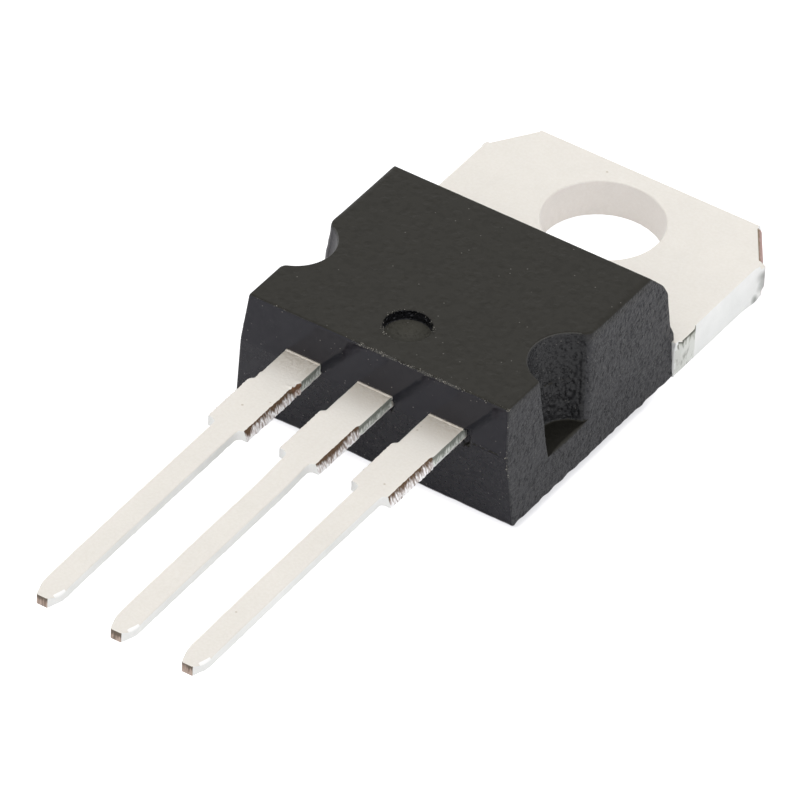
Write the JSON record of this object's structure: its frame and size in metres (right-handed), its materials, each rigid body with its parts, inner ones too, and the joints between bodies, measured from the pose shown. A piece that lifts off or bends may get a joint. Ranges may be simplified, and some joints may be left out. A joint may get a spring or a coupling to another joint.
{
  "type": "voltage regulator",
  "caption": "Voltage regulator in a flat-tab through-hole power package: moulded body, heat-sink tab with a round hole, and a row of straight tinned leads.",
  "frame": {"origin": "centre of the mounting hole at the back face of the tab", "axes": "+Z away from the back face, towards the body's top; +Y from the leads towards the tab's free end; X across the leads, with the input lead at -X"},
  "size_m": [0.0102, 0.0287, 0.0043],
  "materials": {
    "moulding_compound": "spark-eroded mould texture on the sides, fine matte on top",
    "tinned_copper": "matte tin plate over copper, bare copper where it was sheared after plating",
    "silicon": "sawn and passivated chip",
    "solder": "dull solder",
    "bond_wire": "bright drawn wire"
  },
  "bodies": {
    "root": {"moulded_body": "moulding_compound", "tab_frame": "tinned_copper", "input_lead": "tinned_copper", "output_lead": "tinned_copper", "regulator_die": "silicon", "die_attach": "solder", "input_wire": "bond_wire", "output_wire": "bond_wire", "sense_wire": "bond_wire", "ground_wire": "bond_wire"}
  },
  "joints": []
}
